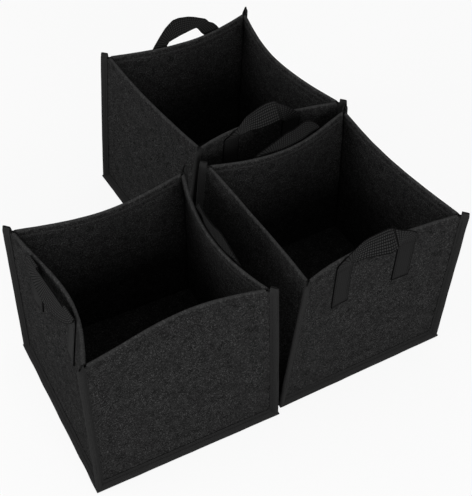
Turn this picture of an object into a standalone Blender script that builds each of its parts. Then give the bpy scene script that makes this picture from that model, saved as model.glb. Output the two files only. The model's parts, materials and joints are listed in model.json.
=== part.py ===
"""Three felt grow bags standing in an L, each sewn from cut panels, binding tape and webbing.

Run with blender --background --python part.py. Units are metres and +Z is up.
The origin is on the floor under the middle of the right bag, and -Y is the front.
"""
import math

import bpy
from mathutils import Matrix, Vector

# Felt panels of one bag
WALL_WIDTH = 0.300        # between the roots of two corner seams, at the floor
WALL_HEIGHT = 0.298       # floor to rim
FELT = 0.003              # thickness of the needle-punched felt
HEM_DEPTH = 0.020         # rim turned down on the inside
HEM_INSET = 0.012         # hem stops this far from a corner seam
SEAM_LIP = 0.0145         # wall edges turned out together at a corner
BASE_LIP = 0.0105         # wall and base edges turned out together along the floor
BASE_RAMP = 0.008         # run over which the base rises to its bound edge

# Binding tape folded over the seam edges
TAPE = 0.0009
TAPE_ROOT = 0.0025        # seam left bare between the wall and the tape
TAPE_ROUND = 0.0012       # folded edge
TAPE_NUB = 0.006          # tape left standing above the rim

# Webbing handles, two on each bag
WEBBING_WIDTH = 0.032
WEBBING = 0.0022
TAIL_SPACING = 0.118      # between the middles of a handle's two sewn tails
TAIL_LENGTH = 0.098       # sewn below the rim
TAIL_SEAM = 0.022         # the last stitches lie this far below the rim
HANDLE_SHIFT = 0.010      # handle sits left of the wall's middle, seen from outside
FOLD_GAP = 0.0002         # fold line of a handle lies this far outside its webbing
ARCH_STEPS = 14

# Clearances
SEWN = 0.0003             # between layers that are sewn together
BAG_GAP = 0.0003          # between neighbouring bags that stand together at the floor

# How soft walls settle between the floor and the rim
DRAW_CURVE = 1.15
BOW_CURVE = 1.6

# Each bag's set: its turn, how far its rim corners are drawn in along X and Y, each wall's inward bow
# at the rim with the place of the deepest point from the wall's left end, and its handles.
# A handle is tipped outward by fall degrees. Its middle rises from its fold line, leans along the wall and
# sways inward. Its legs draw together by the share pinch and its upper edge tilts inward by tilt degrees.
BAGS = {
    "right_bag": {
        "turn": 0.0,
        "draw": {
            "front_left": (0.017, -0.009),
            "front_right": (-0.005, 0.001),
            "back_right": (0.017, 0.001),
            "back_left": (0.008, 0.016),
        },
        "bow": {
            "front": (0.018, 0.42),
            "right": (0.012, 0.50),
            "back": (0.032, 0.53),
            "left": (0.002, 0.50),
        },
        "handles": {
            "front": {"fall": 0, "rise": 0.007, "lean": 0.016, "sway": -0.013, "pinch": 0.25, "tilt": 45},
            "back": {"fall": 0, "rise": 0.011, "lean": -0.014, "sway": 0.0, "pinch": 0.25, "tilt": 40},
        },
    },
    "back_bag": {
        "turn": 2.1,
        "draw": {
            "front_left": (0.030, 0.001),
            "front_right": (-0.002, -0.013),
            "back_right": (0.001, 0.006),
            "back_left": (0.013, 0.002),
        },
        "bow": {
            "front": (0.020, 0.46),
            "right": (0.027, 0.50),
            "back": (0.027, 0.48),
            "left": (-0.007, 0.50),
        },
        "handles": {
            "front": {"fall": 0, "rise": 0.012, "lean": 0.010, "sway": 0.0, "pinch": 0.30, "tilt": 40},
            "back": {"fall": 0, "rise": 0.022, "lean": 0.016, "sway": 0.0, "pinch": 0.30, "tilt": 10},
        },
    },
    "front_bag": {
        "turn": -1.3,
        "draw": {
            "front_left": (-0.005, 0.008),
            "front_right": (0.009, 0.017),
            "back_right": (0.011, 0.002),
            "back_left": (-0.002, 0.004),
        },
        "bow": {
            "front": (0.021, 0.57),
            "right": (0.028, 0.48),
            "back": (0.024, 0.52),
            "left": (0.028, 0.58),
        },
        "handles": {
            "right": {"fall": 0, "rise": 0.009, "lean": -0.010, "sway": 0.003, "pinch": 0.25, "tilt": 26},
            "left": {"fall": 166, "rise": 0.018, "lean": 0.0, "sway": 0.0, "pinch": 0.20, "tilt": 8},
        },
    },
}
BACK_BAG_OFFSET = -0.020   # back bag's middle, across from the right bag's
FRONT_BAG_OFFSET = -0.006  # front bag's middle, behind or before the right bag's

CORNERS = {"front_left": (-1, -1), "front_right": (1, -1), "back_right": (1, 1), "back_left": (-1, 1)}

# Each wall runs from its left to its right corner, seen from outside
WALLS = {
    "front": ("front_left", "front_right"),
    "right": ("front_right", "back_right"),
    "back": ("back_right", "back_left"),
    "left": ("back_left", "front_left"),
}

# Layers stacked at the floor: tape, base, wall lip, tape
BASE_EDGE_Z = TAPE + SEWN
LIP_Z = BASE_EDGE_Z + FELT + SEWN + FELT / 2
BINDING_TOP = LIP_Z + FELT / 2 + SEWN + TAPE
SEAM_BOTTOM = BINDING_TOP + SEWN

# The two walls in a corner seam lie on either side of its diagonal
SEAM_SIDE = (FELT + SEWN) / 2
WALL_PLANE = WALL_WIDTH / 2 + SEAM_SIDE / math.sqrt(2)
LIP_EDGE = WALL_PLANE + BASE_LIP
BINDING_EDGE = LIP_EDGE + SEWN + TAPE
TAPE_INNER = SEAM_SIDE + FELT / 2 + SEWN
TAPE_OUTER = TAPE_INNER + TAPE
TAPE_TIP = SEAM_LIP + SEWN + TAPE

# The hem's fold is three facets round a turn of this radius, and its ridge is the rim
HEM_TURN = (FELT + SEWN) / 2
FOLD_SLANT = math.radians(30)
FOLD_REACH = 1 / math.cos(FOLD_SLANT)
HEM_AXIS_Z = WALL_HEIGHT - (HEM_TURN + FELT / 2) * FOLD_REACH
RIM_Z = HEM_AXIS_Z + HEM_TURN * math.tan(FOLD_SLANT)
TAIL_Z = WALL_HEIGHT - TAIL_LENGTH
TAIL_SEAM_Z = WALL_HEIGHT - TAIL_SEAM

# A handle folds round a bead on its fold line, just above the rim
BEAD = WEBBING + FOLD_GAP
FOLD_Z = WALL_HEIGHT + BEAD + SEWN
TAIL_TOP_Z = FOLD_Z - BEAD - SEWN

# Tails of a handle, from the wall's middle
TAIL_MIDDLES = (-HANDLE_SHIFT - TAIL_SPACING / 2, -HANDLE_SHIFT + TAIL_SPACING / 2)
TAIL_EDGES = [middle + side * WEBBING_WIDTH / 2 for middle in TAIL_MIDDLES for side in (-1, 1)]

# Columns of a wall panel from left to right, with one on each edge of a tail
TAIL_COLUMNS = {"left": (3, 4), "right": (6, 7)}
LAST = 10

# Rows of a wall panel, up its outer face from the floor
ROW_LIP, ROW_FLOOR, ROW_SEAM, ROW_MIDDLE, ROW_TAIL, ROW_STITCH, ROW_RIM = range(7)
ROW_RIDGE, ROW_HEM, ROW_HEM_END = range(7, 10)
ROW_HEIGHTS = {
    ROW_FLOOR: LIP_Z,
    ROW_SEAM: SEAM_BOTTOM,
    ROW_MIDDLE: (SEAM_BOTTOM + TAIL_Z) / 2,
    ROW_TAIL: TAIL_Z,
    ROW_STITCH: TAIL_SEAM_Z,
    ROW_RIM: RIM_Z,
}


def clear_scene():
    for item in list(bpy.data.objects):
        bpy.data.objects.remove(item, do_unlink=True)


def make_material(name, colour, roughness):
    material = bpy.data.materials.new(name)
    material.use_nodes = True
    shader = material.node_tree.nodes["Principled BSDF"]
    shader.inputs["Base Color"].default_value = (*colour, 1.0)
    shader.inputs["Roughness"].default_value = roughness
    shader.inputs["Metallic"].default_value = 0.0
    return material


def make_empty(name, matrix, parent=None):
    empty = bpy.data.objects.new(name, None)
    bpy.context.collection.objects.link(empty)
    empty.parent = parent
    empty.matrix_local = matrix
    return empty


def make_layer(name, outer, inner, cells, material, parent):
    """Closed solid between two faces that share their keys. Each cell is four keys, seen from outside."""
    keys = list(outer)
    index = {key: place for place, key in enumerate(keys)}
    points = [outer[key] for key in keys] + [inner[key] for key in keys]
    triangles = []
    for a, b, c, d in cells:
        triangles.append((index[a], index[b], index[c]))
        triangles.append((index[a], index[c], index[d]))
    edges = {(tri[i], tri[(i + 1) % 3]) for tri in triangles for i in range(3)}
    under = len(keys)
    faces = list(triangles)
    faces += [(c + under, b + under, a + under) for a, b, c in triangles]
    for a, b in sorted(edges):
        if (b, a) not in edges:
            faces += [(b, a, a + under), (b, a + under, b + under)]
    mesh = bpy.data.meshes.new(name)
    mesh.from_pydata(points, [], faces)
    mesh.materials.append(material)
    mesh.validate()
    layer = bpy.data.objects.new(name, mesh)
    bpy.context.collection.objects.link(layer)
    layer.parent = parent
    return layer


def thicken(middle, cells, thickness):
    """Both faces of a sheet, half its thickness to each side of its middle surface."""
    facing = {key: [] for cell in cells for key in cell}
    for a, b, c, d in cells:
        normal = (middle[c] - middle[a]).cross(middle[d] - middle[b]).normalized()
        for key in (a, b, c, d):
            facing[key].append(normal)
    offset = {}
    for key, normals in facing.items():
        mean = sum(normals, Vector()).normalized()
        offset[key] = mean / min(mean.dot(normal) for normal in normals)
    outer = {key: middle[key] + offset[key] * thickness / 2 for key in facing}
    inner = {key: middle[key] - offset[key] * thickness / 2 for key in facing}
    return outer, inner, offset


def climb(z):
    """Share of the way from the floor seam to the rim."""
    return max(0.0, (z - LIP_Z) / (WALL_HEIGHT - LIP_Z))


def diagonal(corner):
    return Vector((*CORNERS[corner], 0)).normalized()


def wall_axes(wall):
    """Direction along a wall from left to right, and its outward normal, both level."""
    left, right = WALLS[wall]
    along = (Vector((*CORNERS[right], 0)) - Vector((*CORNERS[left], 0))).normalized()
    return along, Vector((along.y, -along.x, 0))


def seam_root(bag, corner, z):
    """Where a corner seam stands away from the walls."""
    draw = climb(z) ** DRAW_CURVE
    side = CORNERS[corner]
    x, y = (side[axis] * (WALL_WIDTH / 2 - bag["draw"][corner][axis] * draw) for axis in (0, 1))
    return Vector((x, y, z))


def wall_ends(bag, wall, z):
    """Both ends of a wall at a height, each on its own side of its corner's diagonal."""
    along, outward = wall_axes(wall)
    left, right = WALLS[wall]
    start = seam_root(bag, left, z) + (along + outward).normalized() * SEAM_SIDE
    end = seam_root(bag, right, z) + (outward - along).normalized() * SEAM_SIDE
    return start, end


def wall_columns(span):
    """Shares of a wall's span at its columns: the tails keep their places as the rim draws in."""
    half = span / 2
    hem = half - HEM_INSET
    places = [-half, -hem, (TAIL_EDGES[0] - hem) / 2, *TAIL_EDGES[:2], -HANDLE_SHIFT]
    places += [*TAIL_EDGES[2:], (TAIL_EDGES[3] + hem) / 2, hem, half]
    return [0.5 + place / span for place in places]


def wall_points(bag, wall, z):
    """Middle of the felt along a wall at a height, at each of its columns."""
    start, end = wall_ends(bag, wall, z)
    outward = wall_axes(wall)[1]
    depth, deepest = bag["bow"][wall]
    points = []
    for share in wall_columns((end - start).length):
        bow = depth * math.sin(math.pi * share ** (math.log(0.5) / math.log(deepest)))
        points.append(start.lerp(end, share) - outward * bow * climb(z) ** BOW_CURVE)
    return points


def wall_surface(bag, wall):
    """Middle surface of a wall panel with its floor lip, corner lips and hem."""
    outward = wall_axes(wall)[1]
    middle = {}
    for row, z in ROW_HEIGHTS.items():
        for place, point in enumerate(wall_points(bag, wall, z)):
            middle[row, place] = point
    for place in range(LAST + 1):
        lip = outward * BASE_LIP
        if place in (0, LAST):
            lip = diagonal(WALLS[wall][place == LAST]) * BASE_LIP * math.sqrt(2)
        middle[ROW_LIP, place] = middle[ROW_FLOOR, place] + lip
    for row in (ROW_SEAM, ROW_MIDDLE, ROW_TAIL, ROW_STITCH, ROW_RIM):
        middle[row, -1] = middle[row, 0] + diagonal(WALLS[wall][0]) * SEAM_LIP
        middle[row, LAST + 1] = middle[row, LAST] + diagonal(WALLS[wall][1]) * SEAM_LIP
    hem_end = wall_points(bag, wall, WALL_HEIGHT - HEM_DEPTH)
    for place in range(1, LAST):
        rim = middle[ROW_RIM, place]
        run = middle[ROW_RIM, place + 1] - middle[ROW_RIM, place - 1]
        inward = Vector((-run.y, run.x, 0)).normalized()
        ridge = HEM_TURN * FOLD_REACH - HEM_TURN * math.tan(FOLD_SLANT)
        middle[ROW_RIDGE, place] = rim + inward * HEM_TURN + Vector((0, 0, ridge))
        middle[ROW_HEM, place] = rim + inward * 2 * HEM_TURN
        middle[ROW_HEM_END, place] = hem_end[place] + inward * 2 * HEM_TURN
    return middle


def wall_cells():
    cells = []
    for row in range(ROW_HEM_END):
        first, last = 0, LAST
        if ROW_SEAM <= row < ROW_RIM:
            first, last = -1, LAST + 1
        if row >= ROW_RIM:
            first, last = 1, LAST - 1
        for place in range(first, last):
            cells.append(((row, place), (row, place + 1), (row + 1, place + 1), (row + 1, place)))
    return cells


def folded_tape(reach, root, side, rounding):
    """Half profile points of a tape folded over an edge, as (distance out, distance to the side)."""
    half = [(root, side), (reach - rounding, side), (reach, side - rounding)]
    return half + [(out, -across) for out, across in reversed(half)]


def grid_cells(rows, columns, closed=False):
    """Cells of a grid, with columns to the right and rows up, seen from outside."""
    cells = []
    for row in range(rows if closed else rows - 1):
        above = (row + 1) % rows
        for column in range(columns - 1):
            cells.append(((row, column), (row, column + 1), (above, column + 1), (above, column)))
    return cells


def make_corner_binding(name, bag, corner, material, parent):
    """Tape folded over the two wall lips of a corner, with its end standing above the rim."""
    out = diagonal(corner)
    across = Vector((-out.y, out.x, 0))
    heights = [ROW_HEIGHTS[row] for row in (ROW_SEAM, ROW_MIDDLE, ROW_TAIL, ROW_STITCH, ROW_RIM)]
    profiles = (
        folded_tape(TAPE_TIP, TAPE_ROOT, TAPE_OUTER, TAPE_ROUND),
        folded_tape(TAPE_TIP - TAPE, TAPE_ROOT, TAPE_INNER, SEWN),
    )
    faces = ({}, {})
    roots = [seam_root(bag, corner, z) for z in heights]
    roots.append(roots[-1] + Vector((0, 0, WALL_HEIGHT + TAPE_NUB - RIM_Z)))
    for row, root in enumerate(roots):
        for face, profile in zip(faces, profiles):
            for place, (reach, side) in enumerate(profile):
                face[row, place] = root + out * reach - across * side
    cells = grid_cells(len(roots), len(profiles[0]))
    make_layer(name, faces[0], faces[1], cells, material, parent)


def make_base_binding(name, material, parent):
    """Tape folded over the floor seam, all the way round."""
    root = WALL_PLANE + FELT / 2 + SEWN * 2
    half = BINDING_TOP / 2
    profiles = (
        folded_tape(BINDING_EDGE, root, half, TAPE_ROUND),
        folded_tape(BINDING_EDGE - TAPE, root, half - TAPE, SEWN),
    )
    faces = ({}, {})
    for row, (x, y) in enumerate(CORNERS.values()):
        for face, profile in zip(faces, profiles):
            for place, (reach, side) in enumerate(profile):
                face[row, place] = Vector((x * reach, y * reach, half + side))
    cells = grid_cells(len(CORNERS), len(profiles[0]), closed=True)
    make_layer(name, faces[0], faces[1], cells, material, parent)


def make_base(name, material, parent):
    """Floor panel, flat on the ground and lifted a little at its edge by the tape under it."""
    flat = WALL_PLANE - FELT / 2 - BASE_RAMP
    squares = ((flat, 0), (flat + BASE_RAMP, BASE_EDGE_Z), (LIP_EDGE, BASE_EDGE_Z))
    top, under = {}, {}
    for ring, (reach, z) in enumerate(squares):
        for place, (x, y) in enumerate(CORNERS.values()):
            under[ring, place] = Vector((x * reach, y * reach, z))
            top[ring, place] = under[ring, place] + Vector((0, 0, FELT))
    cells = [tuple((0, place) for place in range(4))]
    for ring in range(len(squares) - 1):
        for place in range(4):
            after = (place + 1) % 4
            cells.append(((ring, place), (ring + 1, place), (ring + 1, after), (ring, after)))
    make_layer(name, top, under, cells, material, parent)


def fold_line(outer):
    """Frame of a handle's fold line: X to the right along it and Z up, seen from outside the wall."""
    rim = [outer[ROW_RIM, place] for side in ("left", "right") for place in TAIL_COLUMNS[side]]
    along = (rim[2] + rim[3] - rim[0] - rim[1])
    along.z = 0
    along.normalize()
    outward = Vector((along.y, -along.x, 0))
    reach = max(point.dot(outward) for point in rim) + SEWN + WEBBING + FOLD_GAP
    middle = sum(point.dot(along) for point in rim) / len(rim)
    origin = along * middle + outward * reach + Vector((0, 0, FOLD_Z))
    frame = Matrix.Identity(4)
    for axis, direction in enumerate((along, -outward, Vector((0, 0, 1)))):
        frame.col[axis].xyz = direction
    frame.translation = origin
    return frame


def make_tail(name, side, middle, offset, frame, material, parent):
    """Sewn end of a handle, flat on the wall up to its last stitches and then up to the fold line."""
    outer, inner = {}, {}
    depth = FELT / 2 + SEWN
    for row, level in enumerate((ROW_TAIL, ROW_STITCH)):
        for column, place in enumerate(TAIL_COLUMNS[side]):
            inner[row, column] = middle[level, place] + offset[level, place] * depth
            outer[row, column] = middle[level, place] + offset[level, place] * (depth + WEBBING)
    centre = TAIL_SPACING / 2 * (-1 if side == "left" else 1)
    for column, edge in enumerate((-WEBBING_WIDTH / 2, WEBBING_WIDTH / 2)):
        x = centre + edge
        outer[2, column] = frame @ Vector((x, FOLD_GAP, TAIL_TOP_Z - FOLD_Z))
        inner[2, column] = frame @ Vector((x, FOLD_GAP + WEBBING, TAIL_TOP_Z - FOLD_Z))
    make_layer(name, outer, inner, grid_cells(3, 2), material, parent)


def make_loop(name, handle, material, parent):
    """Free arch of a handle, from one fold to the other, with its strap turning from edge to edge."""
    tilt = math.radians(handle["tilt"])
    crown = Vector((0, math.sin(tilt), math.cos(tilt)))
    half_width = WEBBING_WIDTH / 2
    bead_side, bead_drop = BEAD / 2, BEAD * math.sqrt(3) / 2
    bead = ((-bead_drop, bead_side, -bead_side), (0, BEAD, -BEAD), (bead_drop, bead_side, -BEAD))

    def arch(share):
        turn = math.pi * share
        height = math.sin(turn)
        x = -TAIL_SPACING / 2 * math.cos(turn) * (1 - handle["pinch"] * height) + handle["lean"] * height ** 2
        return Vector((x, FOLD_GAP + WEBBING / 2 + handle["sway"] * height, BEAD + handle["rise"] * height))

    def fold(side, rows):
        sections = []
        for z, out, back in rows:
            edges = [Vector((side * (TAIL_SPACING / 2 + way * half_width), 0, z)) for way in (1, -1)]
            sections.append([(edge - Vector((0, out, 0)), edge - Vector((0, back, 0))) for edge in edges])
        return sections

    sections = fold(-1, bead)
    for step in range(ARCH_STEPS + 1):
        share = step / ARCH_STEPS
        turn = math.pi * share
        edge = (crown * math.sin(turn) - Vector((math.cos(turn), 0, 0))) * half_width
        ahead = arch(share + 0.01) - arch(share - 0.01)
        out = ahead.cross(edge).normalized() * WEBBING / 2
        sections.append([(point + out, point - out) for point in (arch(share) + edge, arch(share) - edge)])
    sections += fold(1, reversed(bead))

    outer = {(row, side): pair[0] for row, pairs in enumerate(sections) for side, pair in enumerate(pairs)}
    inner = {(row, side): pair[1] for row, pairs in enumerate(sections) for side, pair in enumerate(pairs)}
    loop = make_layer(name, outer, inner, grid_cells(len(sections), 2), material, parent)
    loop.rotation_euler.x = math.radians(handle["fall"])


def make_bag(name, bag, place, felt, tape, webbing):
    """One bag with its pieces parented to an empty on the floor under its middle."""
    turn = Matrix.Rotation(math.radians(bag["turn"]), 4, "Z")
    stand = make_empty(name, Matrix.Translation(place) @ turn)
    cells = wall_cells()
    for wall in WALLS:
        middle = wall_surface(bag, wall)
        outer, inner, offset = thicken(middle, cells, FELT)
        make_layer(f"{name}_{wall}_wall", outer, inner, cells, felt, stand)
        if wall in bag["handles"]:
            handle = f"{name}_{wall}_handle"
            frame = fold_line(outer)
            for side in TAIL_COLUMNS:
                make_tail(f"{handle}_{side}_tail", side, middle, offset, frame, webbing, stand)
            hinge = make_empty(f"{handle}_fold", frame, stand)
            make_loop(f"{handle}_loop", bag["handles"][wall], webbing, hinge)
    for corner in CORNERS:
        make_corner_binding(f"{name}_{corner}_binding", bag, corner, tape, stand)
    make_base(f"{name}_base", felt, stand)
    make_base_binding(f"{name}_base_binding", tape, stand)


def bag_reach(turn):
    """Half the floor room of a bag across a neighbour's side, at a turn."""
    angle = abs(math.radians(turn))
    return BINDING_EDGE * (math.cos(angle) + math.sin(angle))


clear_scene()
FELT_MATERIAL = make_material("black_needle_felt", (0.016, 0.016, 0.017), 0.95)
TAPE_MATERIAL = make_material("black_binding_tape", (0.013, 0.013, 0.014), 0.85)
WEBBING_MATERIAL = make_material("black_webbing", (0.018, 0.018, 0.019), 0.75)
PITCH = {name: bag_reach(0) + bag_reach(bag["turn"]) + BAG_GAP for name, bag in BAGS.items()}
PLACES = {
    "right_bag": Vector((0, 0, 0)),
    "back_bag": Vector((BACK_BAG_OFFSET, PITCH["back_bag"], 0)),
    "front_bag": Vector((-PITCH["front_bag"], FRONT_BAG_OFFSET, 0)),
}
for bag_name, bag_set in BAGS.items():
    make_bag(bag_name, bag_set, PLACES[bag_name], FELT_MATERIAL, TAPE_MATERIAL, WEBBING_MATERIAL)
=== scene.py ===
"""Three black felt grow bags standing in an L: the looks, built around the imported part.

Metres, +Z up, in the part's own frame. A wall runs from left to right as seen from outside its bag.
"""
import json
import math

import bpy
import numpy as np
from mathutils import Matrix, Vector, noise


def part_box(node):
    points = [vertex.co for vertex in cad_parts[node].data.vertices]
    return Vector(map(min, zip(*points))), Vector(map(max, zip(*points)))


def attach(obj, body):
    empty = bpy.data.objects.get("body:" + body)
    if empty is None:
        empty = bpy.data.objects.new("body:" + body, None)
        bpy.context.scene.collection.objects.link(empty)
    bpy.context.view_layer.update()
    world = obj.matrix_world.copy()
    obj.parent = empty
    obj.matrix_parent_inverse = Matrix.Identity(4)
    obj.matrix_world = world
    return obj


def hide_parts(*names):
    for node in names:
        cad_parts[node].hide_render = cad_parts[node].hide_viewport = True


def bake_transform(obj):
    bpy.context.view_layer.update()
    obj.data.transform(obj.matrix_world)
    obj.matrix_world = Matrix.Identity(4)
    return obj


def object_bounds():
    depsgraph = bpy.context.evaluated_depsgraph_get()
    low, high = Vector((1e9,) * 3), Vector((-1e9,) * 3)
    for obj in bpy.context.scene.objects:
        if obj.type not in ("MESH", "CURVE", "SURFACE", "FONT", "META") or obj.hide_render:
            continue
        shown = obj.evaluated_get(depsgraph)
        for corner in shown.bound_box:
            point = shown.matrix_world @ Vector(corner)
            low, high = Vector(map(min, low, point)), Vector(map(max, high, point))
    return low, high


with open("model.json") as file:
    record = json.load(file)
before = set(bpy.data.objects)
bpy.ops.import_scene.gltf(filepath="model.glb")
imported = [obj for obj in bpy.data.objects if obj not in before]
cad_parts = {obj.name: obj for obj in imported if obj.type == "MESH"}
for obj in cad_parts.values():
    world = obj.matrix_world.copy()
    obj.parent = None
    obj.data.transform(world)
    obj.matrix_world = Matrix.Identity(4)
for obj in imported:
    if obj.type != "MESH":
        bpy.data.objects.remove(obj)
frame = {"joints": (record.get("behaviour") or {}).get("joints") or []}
cad_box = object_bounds()
scene = bpy.context.scene


# Camera: about two metres from the bags, before their left side, looking well down into them.
# It has a slight roll, and a lens of 78 mm on a frame of 36 mm.
EYE = Vector((-0.7753, -1.0023, 1.4806))
SIGHT = Vector((0.3576, 0.5865, -0.7267)).normalized()
ROLL = math.radians(-2.61)
FOCAL_PIXELS = 1073.6
IMAGE_HEIGHT = 496
SENSOR = 36.0

level = SIGHT.cross(Vector((0, 0, 1))).normalized()
rise = level.cross(SIGHT)
sideways = level * math.cos(ROLL) - rise * math.sin(ROLL)
upright = level * math.sin(ROLL) + rise * math.cos(ROLL)
lens = bpy.data.cameras.new("camera")
lens.sensor_width = SENSOR
lens.lens = FOCAL_PIXELS * SENSOR / IMAGE_HEIGHT
camera = bpy.data.objects.new("camera", lens)
camera.matrix_world = Matrix.Translation(EYE) @ Matrix((sideways, upright, -SIGHT)).transposed().to_4x4()
scene.collection.objects.link(camera)
scene.camera = camera


# Studio: a white paper floor that runs out of sight, even white light from all round and two soft boxes.
# The paper reads white to the lens and keeps a faint shadow of the bags.
PAPER = "#f2f2f2"
PAPER_SIZE = 14.0
PAPER_GAP = 0.0006
PAPER_GLOW = 0.90
ROOM_LIGHT = 0.46
SOFT_BOXES = {
    "key": {"at": (-0.5, -3.0, 1.4), "size": 1.6, "watts": 50},
    "left": {"at": (-2.8, 0.4, 1.2), "size": 1.4, "watts": 30},
}


def linear(code):
    """Linear colour of an sRGB hex value."""
    shares = [int(code[place:place + 2], 16) / 255 for place in (1, 3, 5)]
    return tuple(s / 12.92 if s <= 0.04045 else ((s + 0.055) / 1.055) ** 2.4 for s in shares) + (1.0,)


def add(tree, kind, inputs=None, **settings):
    """Adds a node with its settings, and sets or links its inputs."""
    item = tree.nodes.new(kind)
    for name, value in settings.items():
        setattr(item, name, value)
    for socket, value in (inputs or {}).items():
        if isinstance(value, bpy.types.NodeSocket):
            tree.links.new(value, item.inputs[socket])
        else:
            item.inputs[socket].default_value = value
    return item


def maths(tree, operation, first, second=0.0):
    """Result of a math node."""
    return add(tree, "ShaderNodeMath", {0: first, 1: second}, operation=operation).outputs[0]


def ranged(tree, value, span, to=(0.0, 1.0)):
    """Value taken from one span to another and held within it."""
    limits = dict(zip(("From Min", "From Max", "To Min", "To Max"), (*span, *to)))
    return add(tree, "ShaderNodeMapRange", {"Value": value, **limits}).outputs[0]


def seen_directly(tree):
    """1 for rays from the lens, by mirror or through glass, and 0 for the light on the bags."""
    path = add(tree, "ShaderNodeLightPath").outputs
    mirrored = maths(tree, "MAXIMUM", path["Is Camera Ray"], path["Is Glossy Ray"])
    return maths(tree, "MAXIMUM", mirrored, path["Is Transmission Ray"])


def new_material(name):
    """Material with an empty tree, and its tree and output node."""
    material = bpy.data.materials.new(name)
    material.use_nodes = True
    material.node_tree.nodes.clear()
    return material, material.node_tree, add(material.node_tree, "ShaderNodeOutputMaterial")


paper, tree, output = new_material("white_paper")
share = maths(tree, "MULTIPLY", seen_directly(tree), PAPER_GLOW)
matt = add(tree, "ShaderNodeBsdfDiffuse", {"Color": linear(PAPER)})
glow = add(tree, "ShaderNodeEmission", {"Color": (1, 1, 1, 1), "Strength": 1.0})
mixed = add(tree, "ShaderNodeMixShader", {0: share, 1: matt.outputs[0], 2: glow.outputs[0]})
tree.links.new(mixed.outputs[0], output.inputs["Surface"])
half = PAPER_SIZE / 2
edge = ((-half, -half), (half, -half), (half, half), (-half, half))
sheet = bpy.data.meshes.new("paper_floor")
sheet.from_pydata([(x, y, -PAPER_GAP) for x, y in edge], [], [(0, 1, 2, 3)])
sheet.materials.append(paper)
floor = bpy.data.objects.new("paper_floor", sheet)
scene.collection.objects.link(floor)

world = bpy.data.worlds.new("white_room")
world.use_nodes = True
scene.world = world
tree = world.node_tree
tree.nodes.clear()
strength = ranged(tree, seen_directly(tree), (0.0, 1.0), (ROOM_LIGHT, 1.0))
sky = add(tree, "ShaderNodeBackground", {"Color": (1, 1, 1, 1), "Strength": strength})
add(tree, "ShaderNodeOutputWorld", {"Surface": sky.outputs[0]})
scene.view_settings.view_transform = "Standard"

middle = (cad_box[0] + cad_box[1]) / 2
for name, box in SOFT_BOXES.items():
    lamp = bpy.data.lights.new(name, "AREA")
    lamp.shape = "SQUARE"
    lamp.size = box["size"]
    lamp.energy = box["watts"]
    lamp_object = bpy.data.objects.new(name, lamp)
    lamp_object.location = box["at"]
    lamp_object.rotation_euler = (middle - Vector(box["at"])).to_track_quat("-Z", "Y").to_euler()
    scene.collection.objects.link(lamp_object)


# Felt wall panels: four to a bag, of black needle-punched polyester felt 3 mm thick. The rim is turned down
# inside as a hem, the sides are turned out into the corner seams and the foot is turned out on the floor.
FELT = 0.003
WALL_WIDTH = 0.300
WALL_HEIGHT = 0.298
HEM_DEPTH = 0.020
SEAM_LIP = 0.0145
BASE_LIP = 0.0105
TAPE = 0.0009
SEWN = 0.0003  # between layers that are sewn together
DRAW_CURVE = 1.15
BOW_CURVE = 1.6
GRAIN = 0.0045  # spacing of a panel's columns and rows
LIP_MITRE = 0.012  # run over which the foot's lip turns into its corner
RIPPLE = 0.0032  # soft waves of a standing wall
RIPPLES = 2.3  # waves across a wall
RIPPLE_CORNER = 0.7  # a lower power keeps the waves up nearer to the corner seams
RIPPLE_FOOT = 0.2  # share of the height over which they grow from the floor seam
RIPPLE_RIM = 0.6  # share of them left at the rim
SEED_STEP = 10.0  # from bag to bag in the noise
WALL_STEP = 3.0  # from wall to wall in the noise
LUMP = 0.00025  # uneven thickness of the felt
LUMP_SIZE = 0.022
HEM_ROW_Z = WALL_HEIGHT - 0.012
HEM_ROW_INSET = 0.006  # from a corner seam
HEM_GROOVE = 0.0005  # how far the stitches pull the felt in
HEM_GROOVE_WIDTH = 0.0016

BAGS = {
    "right_bag": {
        "turn": 0.0,
        "draw": {"front_left": (0.017, -0.009), "front_right": (-0.005, 0.001),
                 "back_right": (0.017, 0.001), "back_left": (0.008, 0.016)},
        "bow": {"front": (0.018, 0.42), "right": (0.012, 0.50),
                "back": (0.032, 0.53), "left": (0.002, 0.50)},
    },
    "back_bag": {
        "turn": 2.1,
        "draw": {"front_left": (0.030, 0.001), "front_right": (-0.002, -0.013),
                 "back_right": (0.001, 0.006), "back_left": (0.013, 0.002)},
        "bow": {"front": (0.020, 0.46), "right": (0.027, 0.50),
                "back": (0.027, 0.48), "left": (-0.007, 0.50)},
    },
    "front_bag": {
        "turn": -1.3,
        "draw": {"front_left": (-0.005, 0.008), "front_right": (0.009, 0.017),
                 "back_right": (0.011, 0.002), "back_left": (-0.002, 0.004)},
        "bow": {"front": (0.021, 0.57), "right": (0.028, 0.48),
                "back": (0.024, 0.52), "left": (0.028, 0.58)},
    },
}
CORNERS = {"front_left": (-1, -1), "front_right": (1, -1), "back_right": (1, 1), "back_left": (-1, 1)}
WALLS = {
    "front": ("front_left", "front_right"),
    "right": ("front_right", "back_right"),
    "back": ("back_right", "back_left"),
    "left": ("back_left", "front_left"),
}
UP = np.array((0.0, 0.0, 1.0))

# Layers at the floor: tape, floor panel, wall lip, tape
BASE_EDGE_Z = TAPE + SEWN
LIP_Z = BASE_EDGE_Z + FELT + SEWN + FELT / 2
BINDING_TOP = LIP_Z + FELT / 2 + SEWN + TAPE
SEAM_BOTTOM = BINDING_TOP + SEWN
SEAM_SIDE = (FELT + SEWN) / 2
HEM_TURN = (FELT + SEWN) / 2
HEM_AXIS_Z = WALL_HEIGHT - HEM_TURN - FELT / 2

for number, (name, bag) in enumerate(BAGS.items()):
    low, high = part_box(f"{name}_base")
    bag["place"] = np.array(((low.x + high.x) / 2, (low.y + high.y) / 2, 0.0))
    bag["seed"] = SEED_STEP * number


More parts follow.
